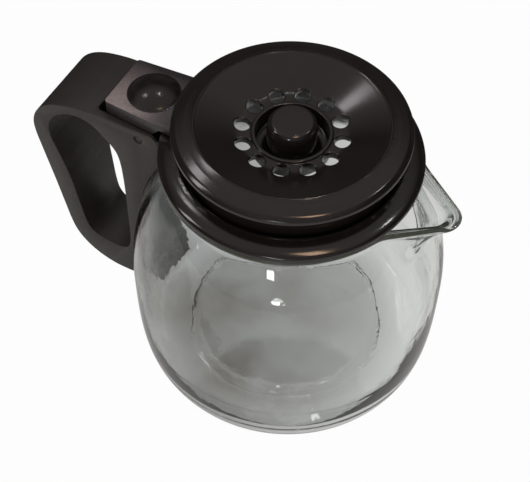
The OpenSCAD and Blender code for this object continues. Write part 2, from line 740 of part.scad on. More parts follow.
// Skirt: the lower ring of the lid, which hangs inside the collar
skirt_low_z = shelf_top + rest_gap;
small_screw_z = lever_top + saddle_h * 0.42;
pad_x = sqrt(pow(skirt_foot_r - lid_t, 2) - pow(small_screw_y + small_head_r, 2)) - seat_gap;
module lid_skirt() {
    skirt_h = landing_z - skirt_low_z;
    lower_chamfer = lid_t / 4;
    color([0.035, 0.03, 0.03])
        difference() {
            union() {
                rotate_extrude($fn = 128)
                    polygon([
                        [skirt_foot_r - lid_t, skirt_low_z],
                        [skirt_foot_r - lower_chamfer, skirt_low_z],
                        [skirt_foot_r, skirt_low_z + lower_chamfer],
                        [skirt_top_r, landing_z],
                        [skirt_top_r - lid_t, landing_z]]);
                intersection() {
                    translate([0, 0, skirt_low_z])
                        cylinder(r = skirt_foot_r - lid_t / 2, h = skirt_h);
                    for (side = [-1, 1])
                        translate([-skirt_foot_r, side * small_screw_y, small_screw_z])
                            rotate([0, 90, 0])
                                cylinder(r = small_head_r + ring_h, h = skirt_foot_r - pad_x, $fn = 40);
                }
            }
            for (side = [-1, 1])
                translate([-lid_r, side * small_screw_y, small_screw_z])
                    rotate([0, 90, 0])
                        cylinder(r = small_screw_r + fit, h = lid_r / 2, $fn = 40);
        }
}

// Knob: a hollow cup whose stem is pressed into the floor of the well
module knob() {
    shoulder_steps = 8;
    wall = lid_t;
    inner_top = knob_top_z - wall * 1.2;
    color([0.05, 0.04, 0.035])
        rotate_extrude($fn = 80)
            polygon(concat(
                [[0, knob_top_z],
                    [knob_top_r, knob_top_z]],
                [for (i = [1:shoulder_steps]) let (a = 90 * i / shoulder_steps)
                    [knob_top_r + (knob_r - knob_top_r) * sin(a), knob_top_z - knob_shoulder_h * (1 - cos(a))]],
                [[knob_r, well_floor_z],
                    [stem_r, well_floor_z],
                    [stem_r, well_floor_z - lid_t * 2],
                    [stem_r - ring_h * 0.6, well_floor_z - lid_t * 2.4],
                    [stem_r - wall, well_floor_z - lid_t * 2.4],
                    [stem_r - wall, inner_top - knob_shoulder_h * 0.6],
                    [knob_top_r - wall, inner_top],
                    [0, inner_top]]));
}

// Thumb lever: an inverted channel with a knuckle on the pin and a saddle that is
// screwed to the lid's skirt
lever_under = lever_top - lever_top_t;
ear_inset = lever_top_t * 1.15;
saddle_r = skirt_top_r + saddle_t;
module lever_block() {
    lever_front = skirt_foot_r * 0.9;
    rotate_front = pin_x - knuckle_r * 0.9;
    intersection() {
        linear_extrude(height = lever_top)
            lever_plan(0, 0, lever_front);
        across(handle_w)
            union() {
                polygon([
                    [-lever_rear_x, lever_top - lever_rear_h],
                    [-lever_rear_x, lever_top],
                    [-lever_front, lever_top],
                    [-lever_front, lever_under],
                    [-ear_x, lever_under],
                    [-rotate_front, pin_z + knuckle_r / 2],
                    [-pin_x - knuckle_r, pin_z]]);
                translate([-pin_x, pin_z])
                    circle(r = knuckle_r, $fn = 48);
            }
    }
}

module thumb_lever() {
    color([0.075, 0.07, 0.08])
        difference() {
            union() {
                difference() {
                    lever_block();
                    intersection() {
                        linear_extrude(height = lever_under)
                            lever_plan(-lever_wall, -lever_wall, ear_x - over);
                        across(handle_w)
                            translate([-lever_rear_x, 0])
                                square([lever_rear_x - ear_x + over, lever_under]);
                    }
                }
                intersection() {
                    linear_extrude(height = lever_top)
                        lever_plan(-lever_wall / 2, -lever_wall / 2, ear_x);
                    for (side = [-1, 1])
                        translate([-pin_x, side * (tongue_half_w + lever_wall + ear_inset), pin_z])
                            rotate([90, 0, 0])
                                cylinder(r = knuckle_r, h = 2 * ear_inset, center = true, $fn = 48);
                }
                intersection() {
                    union() {
                        translate([0, 0, lever_under])
                            cylinder(r = saddle_r + saddle_flare, h = lever_top_t);
                        translate([0, 0, lever_top])
                            cylinder(r1 = saddle_r + saddle_flare, r2 = saddle_r, h = saddle_h);
                    }
                    translate([-pin_x, -saddle_half_w, lever_under])
                        cube([pin_x / 2, 2 * saddle_half_w, saddle_h + lever_top_t]);
                }
            }
            translate([0, 0, skirt_low_z])
                cylinder(r1 = skirt_foot_r + seat_gap, r2 = skirt_top_r + seat_gap, h = landing_z - skirt_low_z, $fn = 128);
            translate([-pin_x, 0, pin_z])
                rotate([90, 0, 0])
                    cylinder(r = pin_r + pin_play, h = handle_w, center = true);
            translate([-dome_x, 0, lever_top - dome_seat])
                cylinder(r = dome_r + fit, h = over);
            translate([-dome_x, 0, lever_under - over])
                cylinder(r = peg_r + fit, h = 2 * over);
            for (side = [-1, 1])
                translate([-saddle_r - over, side * small_screw_y, small_screw_z])
                    rotate([0, 90, 0])
                        cylinder(r = small_screw_r + fit, h = saddle_r / 2, $fn = 40);
        }
}

module lever_screws() {
    color([0.7, 0.7, 0.72])
        for (side = [-1, 1])
            translate([-pad_x, side * small_screw_y, small_screw_z])
                rotate([0, 0, 180])
                    pan_screw(small_screw_r, small_head_r, small_head_h, saddle_r - pad_x - small_screw_r);
}

// Thumb dome: a shallow cap set into the lever and held by a peg
module thumb_dome() {
    cap_steps = 12;
    cap_r = dome_r - dome_step;
    ball_r = (cap_r * cap_r + dome_h * dome_h) / (2 * dome_h);
    half_angle = asin(cap_r / ball_r);
    color([0.05, 0.042, 0.04])
        translate([-dome_x, 0, lever_top])
            rotate_extrude($fn = 80)
                polygon(concat(
                    [for (i = [0:cap_steps]) let (a = half_angle * i / cap_steps)
                        [ball_r * sin(a), dome_h - ball_r * (1 - cos(a))]],
                    [[dome_r, 0],
                        [dome_r, -dome_seat],
                        [peg_r, -dome_seat],
                        [peg_r, -peg_h],
                        [0, -peg_h]]));
}

glass_bowl();
rim_seal();
collar();
handle();
handle_screws();
hinge_pin();
lid_plate();
lid_skirt();
knob();
thumb_lever();
lever_screws();
thumb_dome();
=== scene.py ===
# %% [markdown]
# # A coffee server carafe
# The carafe is a blown glass bowl under a black moulded collar, with a closed
# side handle and a lid that tips back when its thumb lever is pressed. The
# measured pieces come in as a fixed frame, and this file gives them their looks:
# fine surfaces for what is blown, turned or moulded, and a finish for each.

# %% Load the measured pieces
import math
import bmesh
import bpy
import numpy as np
from mathutils import Matrix, Vector


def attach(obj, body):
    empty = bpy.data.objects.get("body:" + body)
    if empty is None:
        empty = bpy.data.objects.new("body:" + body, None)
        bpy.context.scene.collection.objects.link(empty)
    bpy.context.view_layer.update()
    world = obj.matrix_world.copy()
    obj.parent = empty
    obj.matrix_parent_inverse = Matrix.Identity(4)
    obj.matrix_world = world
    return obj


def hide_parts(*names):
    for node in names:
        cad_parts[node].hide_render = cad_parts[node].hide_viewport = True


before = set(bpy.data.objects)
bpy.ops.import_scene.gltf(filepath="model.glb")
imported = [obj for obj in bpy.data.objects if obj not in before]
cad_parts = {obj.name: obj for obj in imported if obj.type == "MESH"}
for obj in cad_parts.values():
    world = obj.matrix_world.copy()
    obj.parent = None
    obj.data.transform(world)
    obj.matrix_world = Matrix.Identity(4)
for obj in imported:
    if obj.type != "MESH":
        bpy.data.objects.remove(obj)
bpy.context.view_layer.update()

MM = 0.001
print("measured pieces:", sorted(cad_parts))

# %% [markdown]
# Most of the carafe is round, so most of its surfaces are grids: one direction
# runs along a profile and the other runs round the axis. A Screw modifier could
# turn a profile too, but not a lip or a plate with holes. So a grid is worked out
# as whole arrays, which is fast, and becomes a mesh in one step. Rows that wrap
# are joined to themselves, and a grid that ends on the axis is closed with a fan
# of triangles.

# %% Turn a grid of points into a mesh
def put_mesh(name, points, faces):
    """A smooth mesh object from an (n, 3) array in millimetres and a list of faces."""
    mesh = bpy.data.meshes.new(name)
    mesh.from_pydata((np.asarray(points) * MM).tolist(), [], [list(map(int, f)) for f in faces])
    mesh.validate()
    mesh.polygons.foreach_set("use_smooth", np.ones(len(mesh.polygons), dtype=bool))
    mesh.update()
    piece = bpy.data.objects.new(name, mesh)
    bpy.context.scene.collection.objects.link(piece)
    return piece


def grid_faces(rows, columns, wrap_rows=False, start=0):
    """Four-sided faces of a rows x columns grid whose points are numbered row by row.
    The columns always close round the axis, and the rows do if wrap_rows is set."""
    i = np.arange(rows if wrap_rows else rows - 1)
    i, j = np.meshgrid(i, np.arange(columns), indexing="ij")
    i2, j2 = (i + 1) % rows, (j + 1) % columns
    quads = np.stack([i * columns + j, i * columns + j2, i2 * columns + j2, i2 * columns + j], -1)
    return (quads.reshape(-1, 4) + start).tolist()


def turned(r, z, angles):
    """Each profile point (r, z) carried round the axis: x = r cos a, y = r sin a."""
    x = np.outer(r, np.cos(angles))
    y = np.outer(r, np.sin(angles))
    return np.stack([x, y, np.broadcast_to(z[:, None], x.shape)], -1).reshape(-1, 3)


def fan(pole, ring, columns, flip=False):
    """Triangles from the point numbered pole to the closed row that starts at ring."""
    j = ring + np.arange(columns)
    k = ring + (np.arange(columns) + 1) % columns
    return np.stack([np.full(columns, pole), *((k, j) if flip else (j, k))], -1).tolist()


def face_outwards(piece, join=1e-6):
    """Joins points nearer than join metres and turns every face outwards."""
    work = bmesh.new()
    work.from_mesh(piece.data)
    bmesh.ops.remove_doubles(work, verts=work.verts, dist=join)
    bmesh.ops.recalc_face_normals(work, faces=work.faces)
    open_edges = sum(1 for e in work.edges if len(e.link_faces) != 2)
    work.to_mesh(piece.data)
    work.free()
    print(f"{piece.name}: {len(piece.data.polygons)} faces, {open_edges} open edges")
    return piece


# %% [markdown]
# A moulded part has no sharp corners. Its profile is written down as a few
# corner points, each with the radius that the mould gives it, and every corner
# is replaced by a short arc that touches both of its sides. A Bevel modifier
# would give all of them one width, but here a rim can be rounder than a foot.

# %% Round the corners of a profile
NEARLY_STRAIGHT = 1.55  # half the angle, in radians, of a corner too flat to round
SIDE_SHARE = 0.48  # the most of a side that one arc may take up


def rounded(corners, steps=5, closed=True):
    """Corners (r, z, radius) become an arc each: the arc starts and ends where a
    circle of that radius touches the two sides, or a little nearer on a short side."""
    p = np.array([c[:2] for c in corners], float)
    radius = np.array([c[2] for c in corners], float)
    n = len(p)
    out = []
    for i in range(n):
        if radius[i] <= 0 or (not closed and i in (0, n - 1)):
            out.append(p[i][None])
            continue
        a, b = p[i - 1] - p[i], p[(i + 1) % n] - p[i]
        la, lb = np.linalg.norm(a), np.linalg.norm(b)
        a, b = a / la, b / lb
        half = math.acos(np.clip(a @ b, -1, 1)) / 2
        if half > NEARLY_STRAIGHT:
            out.append(p[i][None])
            continue
        reach = min(radius[i] / math.tan(half), SIDE_SHARE * la, SIDE_SHARE * lb)
        s = np.linspace(0, 1, steps + 1)[:, None]
        start, end = p[i] + a * reach, p[i] + b * reach
        out.append((1 - s) ** 2 * start + 2 * s * (1 - s) * p[i] + s ** 2 * end)
    return np.concatenate(out)


def lathe(name, corners, columns=256, steps=5):
    """A closed ring: the rounded profile turned once round the axis."""
    p = rounded(corners, steps)
    angles = np.linspace(0, 2 * math.pi, columns, endpoint=False)
    points = turned(p[:, 0], p[:, 1], angles)
    return face_outwards(put_mesh(name, points, grid_faces(len(p), columns, wrap_rows=True)))


def capped_lathe(name, corners, columns=256, steps=5):
    """The same for a profile that starts and ends on the axis, closed there by fans."""
    p = rounded(corners, steps, closed=False)
    angles = np.linspace(0, 2 * math.pi, columns, endpoint=False)
    rows = p[1:-1]
    points = turned(rows[:, 0], rows[:, 1], angles)
    pole = len(points)
    points = np.vstack([points, [0, 0, p[0, 1]], [0, 0, p[-1, 1]]])
    faces = grid_faces(len(rows), columns) + fan(pole, 0, columns)
    faces += fan(pole + 1, (len(rows) - 1) * columns, columns)
    return face_outwards(put_mesh(name, points, faces))


# %% [markdown]
# ## The glass bowl
# The bowl is blown into a mould, and its rim is melted round and pulled out into
# a lip while it is hot. It could be a turned solid with a wall cut out of it, but
# light bends in glass wherever the two faces of the wall aren't parallel, so one
# closed grid is better: it runs up the outside, over the round bead and down the
# inside, and the lip is a smooth push added to the radius of every point. The
# ring seen through the bowl is the fold round the middle of the foot. The mould
# pushes the middle up, so the bowl stands on the flat ring that is left outside.

# %% Outline of the glass
BOWL_R, MID_Z, FOOT_R, HEEL = 75.06, 53.3, 62.0, 3.5
SHOULDER_H, SHOULDER_A = 92.0, math.radians(43)
FLARE_Z, FLARE_A = 126.3, math.radians(70)


def glass_outside():
    """Foot, a squarish heel, an ellipse for the shoulder, then an arc that flares."""
    a = np.linspace(0, math.pi / 2, 40)
    heel = np.stack([FOOT_R + (BOWL_R - FOOT_R) * np.sin(a) ** (2 / HEEL),
                     MID_Z * (1 - np.cos(a) ** (2 / HEEL))], -1)
    b = np.linspace(0, SHOULDER_A, 40)[1:]
    shoulder = np.stack([BOWL_R * np.cos(b), MID_Z + SHOULDER_H * np.sin(b)], -1)
    turn = math.atan(BOWL_R / SHOULDER_H * math.tan(SHOULDER_A))
    arc = (FLARE_Z - shoulder[-1, 1]) / (math.sin(turn) + math.sin(FLARE_A))
    centre = shoulder[-1] + arc * np.array([math.cos(turn), math.sin(turn)])
    c = np.linspace(-turn, FLARE_A, 26)[1:]
    neck = centre + arc * np.stack([-np.cos(c), np.sin(c)], -1)
    fold_rows = np.linspace(45.5, 51.5, 25)
    r = np.concatenate([np.linspace(0, 45, 7), fold_rows, np.linspace(53, FOOT_R - 1.5, 6)])
    foot = np.stack([r, np.zeros_like(r)], -1)
    return np.vstack([foot, heel, shoulder, neck])


line = glass_outside()
above = line[line[:, 1] > MID_Z]
print(f"glass: {len(line)} points of the outline, neck radius {above[:, 0].min():.2f} mm")

# %% [markdown]
# The wall is the outline moved inwards by its thickness, which grows towards the
# foot, where the glass gathers while it cools. A Solidify modifier could do this,
# but only with one thickness. The punt is then added to both faces alike.

# %% Wall, punt and rim
WALL, FOOT_EXTRA, BEAD_R = 2.8, 1.4, 1.7
PUSH_R, PUSH_HALF, PUSH_UP = 48.2, 2.3, 4.6
step = np.gradient(line, axis=0)
inward = np.stack([-step[:, 1], step[:, 0]], -1)
inward /= np.linalg.norm(inward, axis=1, keepdims=True)
wall = WALL + FOOT_EXTRA * np.clip(1 - line[:, 1] / MID_Z, 0, None) ** 2
inside = line + wall[:, None] * inward
foot = line[:, 1] < 1e-9
fold = np.clip((PUSH_R + PUSH_HALF - line[foot, 0]) / (2 * PUSH_HALF), 0, 1)
punt = PUSH_UP * fold ** 2 * (3 - 2 * fold)
line[foot, 1] += punt
inside[foot, 1] += punt
bead_c = line[-1] + WALL / 2 * inward[-1]
RIM_Z = bead_c[1] + BEAD_R
print(f"glass: rim at {RIM_Z:.2f} mm, wall {wall[0]:.1f} mm at the foot, {wall[-1]:.1f} mm above")

# %% [markdown]
# The lip is drawn as the glass worker pulls it. Seen from above the rim becomes
# a V with a rounded tip, so the push at the rim is the distance from the round
# rim to that V. Further down the V is narrower and is pushed out less, and a soft
# maximum melts it into the round wall. It could be sculpted by hand, but a formula
# keeps the wall's thickness and gives the same lip on both faces.

# %% The pulled pouring lip
LIP_REACH, LIP_HALF, LIP_TIP = 80.15, 24.0, 9.5
LIP_ROOT, LIP_BOW, LIP_NARROW = 99.0, 1.25, 0.42
LIP_MELT = 1.6  # width in mm of the soft maximum
BEHIND = -40.0  # any push far below 0, for the side of the rim away from the lip
rim_r = line[-1, 0]
tip_c = LIP_REACH - LIP_TIP
side = np.array([tip_c - math.sqrt(rim_r ** 2 - LIP_HALF ** 2), LIP_HALF])
alpha = math.acos(-LIP_TIP / np.linalg.norm(side)) - math.atan2(side[1], side[0])


def height_r(z):
    """Radius of the glass's outer face at a height above the widest place."""
    return np.interp(z, above[:, 1], above[:, 0])


def lip_push(angle, z, depth):
    """How far the lip moves a point outwards. angle is round the axis, z is the height
    and depth is how far inside the outer face the point lies. At the rim it is the V's
    radius at that angle less the round rim's: a circle about the tip, then a straight
    side. draw is the share of it at this height. The push is a soft maximum of x and 0,
    (x + root(x x + soft soft)) / 2 less a small term, and fades to nothing at the root."""
    t = np.clip((z - LIP_ROOT) / (RIM_Z - LIP_ROOT), 0, 1)
    a = np.abs(angle) / (LIP_NARROW + (1 - LIP_NARROW) * t)
    tip_r = LIP_TIP - depth
    away = tip_c * math.cos(alpha) + tip_r
    turn = np.arctan2(tip_r * math.sin(alpha), tip_c + tip_r * math.cos(alpha))
    straight = away / np.cos(np.minimum(a, alpha + 1.2) - alpha)
    circle = tip_c * np.cos(a) + np.sqrt(np.clip(tip_r ** 2 - (tip_c * np.sin(a)) ** 2, 0, None))
    v = np.where(a < turn, circle, straight) - (rim_r - depth)
    v = np.where(a > alpha + 0.3, BEHIND, v)
    front = height_r(LIP_ROOT) + (LIP_REACH - height_r(LIP_ROOT)) * t ** LIP_BOW
    draw = np.clip((front - height_r(np.minimum(z, FLARE_Z))) / (LIP_REACH - rim_r), 0, 1)
    x = draw * v
    soft = LIP_MELT * np.clip(t * 3, 0.02, 1)
    root = np.sqrt(x * x + soft * soft)
    return (x + root - 2 * soft ** 2 / (root + 2 * soft)) / 2 * t ** 0.15


# %% [markdown]
# The melted bead takes the place of the last rows of both faces. The columns are
# crowded towards the lip, where the form turns fastest, and the inner face gets
# the slow waves of blown glass, a tenth of a millimetre high.

# %% One grid for the whole bowl
WAVE = 0.10
arc_a = np.radians(np.linspace(-34, 214, 22))
tangent = np.array([inward[-1][1], -inward[-1][0]])
bead = bead_c + BEAD_R * (-np.cos(arc_a)[:, None] * inward[-1] + np.sin(arc_a)[:, None] * tangent)
trim = 3
profile = np.vstack([line[1:-trim], bead, inside[1:-trim][::-1]])
depth = np.concatenate([np.zeros(len(line) - 1 - trim), np.linspace(0, WALL, len(bead)),
                        np.full(len(line) - 1 - trim, WALL)])
around = np.linspace(-math.pi, math.pi, 360, endpoint=False)
around = around - 0.84 * np.sin(around)
A, Z = np.meshgrid(around, profile[:, 1])
D = depth[:, None]
R = profile[:, :1] + lip_push(A, Z, D)
waves = (np.sin(3 * A + 0.05 * Z) + 0.7 * np.sin(5 * A - 0.09 * Z + 1)
         + 0.5 * np.sin(8 * A + 0.13 * Z + 2))
R = R + WAVE * waves * (D / WALL) * np.clip((profile[:, :1] - 20) / 40, 0, 1)
points = np.stack([R * np.cos(A), R * np.sin(A), Z], -1).reshape(-1, 3)
rows, columns = R.shape
pole = len(points)
points = np.vstack([points, [0, 0, line[0, 1]], [0, 0, inside[0, 1]]])
faces = grid_faces(rows, columns) + fan(pole, 0, columns, flip=True)
faces += fan(pole + 1, (rows - 1) * columns, columns)
bowl = face_outwards(put_mesh("blown_glass_bowl", points, faces))
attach(bowl, "carafe")
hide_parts("glass_bowl")

# %% [markdown]
# ## Moulded pieces that aren't round
# The collar, the handle and the thumb lever already have their right shape. What
# the measured solids lack is the small round that a mould leaves on every edge,
# which is where plastic catches the light. A copy of each is joined into one
# skin, its flat faces are made whole, and a Bevel modifier rounds its edges. That
# suits these forms, which no single grid could follow.

# %% Round the edges of a measured piece
FLAT_DEG = 0.6  # facets that differ by less are one flat face


def moulded(node, name, body, edge_mm, sharp_deg=28, segments=3):
    """A copy of a measured node with every edge sharper than sharp_deg rounded."""
    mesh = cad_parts[node].data.copy()
    mesh.name = name
    piece = bpy.data.objects.new(name, mesh)
    bpy.context.scene.collection.objects.link(piece)
    work = bmesh.new()
    work.from_mesh(mesh)
    bmesh.ops.remove_doubles(work, verts=work.verts, dist=2e-6)
    bmesh.ops.dissolve_limit(
        work, angle_limit=math.radians(FLAT_DEG), verts=work.verts, edges=work.edges)
    work.to_mesh(mesh)
    work.free()
    mesh.polygons.foreach_set("use_smooth", np.ones(len(mesh.polygons), dtype=bool))
    bevel = piece.modifiers.new("moulded edge", "BEVEL")
    bevel.width, bevel.segments = edge_mm * MM, segments
    bevel.limit_method, bevel.angle_limit = "ANGLE", math.radians(sharp_deg)
    bevel.harden_normals = True
    bevel.use_clamp_overlap = True
    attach(piece, body)
    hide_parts(node)
    print(f"{name}: {len(mesh.polygons)} faces before its edges are rounded")
    return piece


collar = moulded("collar", "moulded_collar", "carafe", 0.35)
handle = moulded("handle", "moulded_handle", "carafe", 0.9)
lever = moulded("thumb_lever", "moulded_thumb_lever", "lid", 0.5)

# %% [markdown]
# ## The lid plate
# Coffee drips into the dish and runs through a ring of twelve holes. A turned
# shape can't have holes beside its axis, and a Boolean modifier would cut them
# with long thin faces that shine badly. So the plate is made of three grids that
# share their edges: a turned inner part, a turned outer part, and between them
# twelve sectors. The numbers come from the measured plate.

# %% Heights of the lid
LID_R, DISH_R, DISH_Z, LID_T = 52.6, 42.4, 150.674, 2.0
HOLE_RING, HOLE_R, FLOOR_Z = 22.1, 3.65, 143.674
RING_R, RING_H, WELL_Z = 17.6, 1.0, 136.874
DRIP_IN, DRIP_OUT, DRIP_Z, DRIP_ROUND = 27.6, 29.0, 137.08, 0.32
THICK_R, THICK, THIN_Z, BEND = 24.56, 3.2, 142.867, 1.2
BAND = LID_R - DISH_R
FLOOR_R = HOLE_RING + HOLE_R * 0.4
LAND_Z = DISH_Z - BAND * 0.36 + LID_T * 0.35
SECTOR = (18.35, 26.4)
well_r, stem_r = RING_R - RING_H * 1.6, 9.4
slope = ((DISH_Z - 0.1) - (FLOOR_Z + 0.35)) / ((DISH_R - 0.3) - (FLOOR_R + 1))


def dish_height(r):
    """Height of the dish's upper face: flat by the well, then a cone. With x the radius
    past the foot of the cone, it rises as slope (x + root(x x + bend bend)) / 2."""
    x = r - FLOOR_R
    return FLOOR_Z + slope * (x + np.sqrt(x * x + BEND ** 2)) / 2


def under_height(r):
    """Height of the lower face: a thick plate round the holes, then the cone, thinner."""
    return np.interp(r, [THICK_R, DRIP_IN, DISH_R], [FLOOR_Z - THICK, THIN_Z, DISH_Z - LID_T])


print(f"lid: cone rises {slope:.3f} mm per mm, rim band {BAND:.1f} mm wide")

# %% [markdown]
# A sector is one grid. Its rows run from the sector's own border to its hole, over
# the hole's moulded edge, down through the plate and back out on the underside.
# Towards the underside the holes lean a little outwards.

# %% Border of one sector
HOLES, SIDE = 12, 20


def sector_border():
    """Points round one sector, as turn from its middle and radius, SIDE of them on each
    of its four sides."""
    s = np.linspace(0, 1, SIDE, endpoint=False)
    still = np.ones(SIDE)
    half = math.pi / HOLES
    low, high = SECTOR
    turn = np.concatenate([half * (2 * s - 1), half * still, half * (1 - 2 * s), -half * still])
    fall = (low - high) * s
    radius = np.concatenate([high * still, high + fall, low * still, low - fall])
    return turn, radius


turn, radius = sector_border()
border = np.stack([radius * np.cos(turn), radius * np.sin(turn)], -1)
print(f"sector border: {len(border)} points, {math.degrees(turn.max() - turn.min()):.0f} degrees")

# %% Sectors with their holes
ROUND_STEPS, EDGE, LEAN = 5, 0.45, 0.55
aim = np.arctan2(border[:, 1], border[:, 0] - HOLE_RING)
down = np.linspace(0, math.pi / 2, ROUND_STEPS)
ring_out = np.concatenate([np.linspace(1, 0, ROUND_STEPS + 1)[:-1] ** 1.3, np.zeros(ROUND_STEPS)])
ring_r = np.concatenate([np.full(ROUND_STEPS, HOLE_R + EDGE), HOLE_R + EDGE * (1 - np.sin(down))])
ring_drop = np.concatenate([np.zeros(ROUND_STEPS), EDGE * (1 - np.cos(down))])
hole_xy = np.stack([np.cos(aim), np.sin(aim)], -1)
flat = (ring_out[:, None, None] * border[None]
        + (1 - ring_out)[:, None, None] * (ring_r[:, None, None] * hole_xy[None] + [HOLE_RING, 0]))
lean = np.stack([LEAN * (1 - ring_out), np.zeros_like(ring_out)], -1)[:, None]
parts, part_faces = [], []
for k in range(HOLES):
    a = 2 * math.pi * (k + 0.5) / HOLES
    spin = np.array([[math.cos(a), math.sin(a)], [-math.sin(a), math.cos(a)]])
    xy, low_xy = flat @ spin, (flat + lean) @ spin
    upper = dish_height(np.linalg.norm(xy, axis=-1)) - ring_drop[:, None]
    lower = under_height(np.linalg.norm(low_xy, axis=-1)) + ring_drop[:, None]
    sheet = np.concatenate([np.concatenate([xy, upper[..., None]], -1),
                            np.concatenate([low_xy, lower[..., None]], -1)[::-1]])
    part_faces += grid_faces(sheet.shape[0], 4 * SIDE, start=sum(len(p) for p in parts))
    parts.append(sheet.reshape(-1, 3))
print(f"lid sectors: {len(part_faces)} faces round {HOLES} holes")

# %% [markdown]
# The inner part is the low ring round the knob and the well that the knob stands
# in. The outer part is the cone of the dish, the fine bead at its edge, the rim
# band, and below them the land for the skirt and the short drip wall.

# %% Inner and outer turned parts of the plate
columns = HOLES * SIDE
angles = 2 * math.pi * np.arange(columns) / columns
inner = rounded([
    (SECTOR[0], dish_height(SECTOR[0]), 0), (RING_R + 0.35, dish_height(RING_R + 0.35), 0.3),
    (RING_R, FLOOR_Z + RING_H, 0.35), (well_r, FLOOR_Z + RING_H, 0.5),
    (well_r, WELL_Z, 0.9), (stem_r + 0.02, WELL_Z, 0),
    (stem_r + 0.02, WELL_Z - LID_T, 0), (well_r + 1.8, WELL_Z - LID_T, 0.6),
    (well_r + 1.8, under_height(SECTOR[0]), 0.3), (SECTOR[0], under_height(SECTOR[0]), 0)],
    6, closed=False)
cone = np.linspace(SECTOR[1], DISH_R - 0.7, 14)
outer_top = np.stack([cone, dish_height(cone)], -1)
lift = DISH_Z - dish_height(DISH_R)
outer_top[:, 1] += lift * np.clip((cone - 30) / 12, 0, 1) ** 2
band = rounded([
    (outer_top[-1, 0], outer_top[-1, 1], 0), (DISH_R - 0.25, DISH_Z - 0.12, 0.1),
    (DISH_R - 0.05, DISH_Z + 0.16, 0.15), (DISH_R + 0.45, DISH_Z + 0.16, 0.15),
    (DISH_R + 0.7, DISH_Z - 0.08, 0.15), (DISH_R + BAND * 0.42, DISH_Z - BAND * 0.072, 3),
    (DISH_R + BAND * 0.80, DISH_Z - BAND * 0.165, 3), (LID_R, DISH_Z - BAND * 0.33, 2.2),
    (LID_R, DISH_Z - BAND * 0.36 - 1.6, 0.45), (LID_R - 1.4, DISH_Z - BAND * 0.36 - 1.6, 0.4),
    (LID_R - 1.6, DISH_Z - BAND * 0.36, 0.5), (48.42, LAND_Z, 0.2), (46.38, LAND_Z, 0),
    (46.38, LAND_Z - 2, 0.3), (44.8, LAND_Z - 2, 0.3), (44.8, DISH_Z - LID_T, 0.3),
    (DISH_R, DISH_Z - LID_T, 0.3)], 6, closed=False)
cone_low = cone[::-1]
outer_low = np.stack([cone_low, under_height(cone_low)], -1)
drip = np.array([
    [DRIP_OUT, under_height(DRIP_OUT)], [DRIP_OUT, DRIP_Z + DRIP_ROUND], [DRIP_OUT - 0.3, DRIP_Z],
    [DRIP_IN + 0.3, DRIP_Z], [DRIP_IN, DRIP_Z + DRIP_ROUND], [DRIP_IN, under_height(DRIP_IN)]])
outer_low = np.vstack([outer_low[cone_low > DRIP_OUT], drip, outer_low[cone_low < DRIP_IN]])
outer = np.vstack([outer_top, band[1:], outer_low])
for p in (inner, outer):
    part_faces += grid_faces(len(p), columns, start=sum(len(q) for q in parts))
    parts.append(turned(p[:, 0], p[:, 1], angles))
lid_plate = put_mesh("moulded_lid_plate", np.vstack(parts), part_faces)
face_outwards(lid_plate, join=4e-5)
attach(lid_plate, "lid")
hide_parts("lid_plate")

# %% [markdown]
# ## Skirt, knob and thumb dome
# The skirt is the ring that drops into the collar, the knob is pressed into the
# lid's well, and the dome is the button pressed into the thumb lever. These three
# are turned shapes, so each is one profile with its moulded rounds.

# %% Skirt, knob and dome
SHELF_Z, REST = 124.674, 0.35
skirt_z = SHELF_Z + REST
skirt = lathe("moulded_lid_skirt", [
    (45.6, skirt_z, 0.4), (47.6, skirt_z, 0.5), (48.4, LAND_Z, 0.1), (46.4, LAND_Z, 0.1)])
KNOB_Z, KNOB_TOP_R = 151.374, 8.6
shoulder = [(KNOB_TOP_R + 2.5 * math.sin(t), KNOB_Z - 5 * (1 - math.cos(t)), 0)
            for t in np.linspace(0.2, math.pi / 2, 9)]
knob = capped_lathe("moulded_knob", [
    (0, KNOB_Z, 0), (4, KNOB_Z, 0), (KNOB_TOP_R, KNOB_Z, 0.5), *shoulder,
    (11.1, WELL_Z, 0.1), (stem_r, WELL_Z, 0.1), (stem_r, WELL_Z - 4, 0.3),
    (8.8, WELL_Z - 4.8, 0.3), (7.4, WELL_Z - 4.8, 0.3), (7.4, KNOB_Z - 4.8, 1.5),
    (6.6, KNOB_Z - 2.4, 0.6), (0, KNOB_Z - 2.4, 0)], 192, 6)
DOME_X, LEVER_Z = -69.9, 134.0
DOME_R, DOME_RISE = 11.9, 3.5
ball = (DOME_R ** 2 + DOME_RISE ** 2) / (2 * DOME_RISE)
cap = [(ball * math.sin(t), DOME_RISE - ball * (1 - math.cos(t)), 0)
       for t in np.linspace(0, math.asin(DOME_R / ball), 24)]
dome = capped_lathe("moulded_thumb_dome", cap[:-1] + [
    (11.95, 0.05, 0.12), (12.4, 0, 0.15), (12.4, -0.6, 0.1), (3, -0.6, 0), (3, -4.5, 0.2),
    (0, -4.5, 0)], 192, 4)
dome.data.transform(Matrix.Translation(Vector((DOME_X * MM, 0, LEVER_Z * MM))))
for piece, node in ((skirt, "lid_skirt"), (knob, "knob"), (dome, "thumb_dome")):
    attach(piece, "lid")
    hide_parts(node)

# %% [markdown]
# ## Finishes
# Every finish is made of shader nodes that read the piece's own coordinates, so
# it stays on the surface when the lid swings. Colour, roughness and a small bump
# each change slowly over the piece and finely along it. Pictures wrapped round the
# pieces could do that too, but they would need seams, and noise needs none.

# %% Node helpers
def finish(name):
    """A new material with its shader, its node tree and the object's coordinates."""
    material = bpy.data.materials.new(name)
    material.use_nodes = True
    tree = material.node_tree
    shader = tree.nodes["Principled BSDF"]
    where = tree.nodes.new("ShaderNodeTexCoord").outputs["Object"]
    return material, tree, shader, where


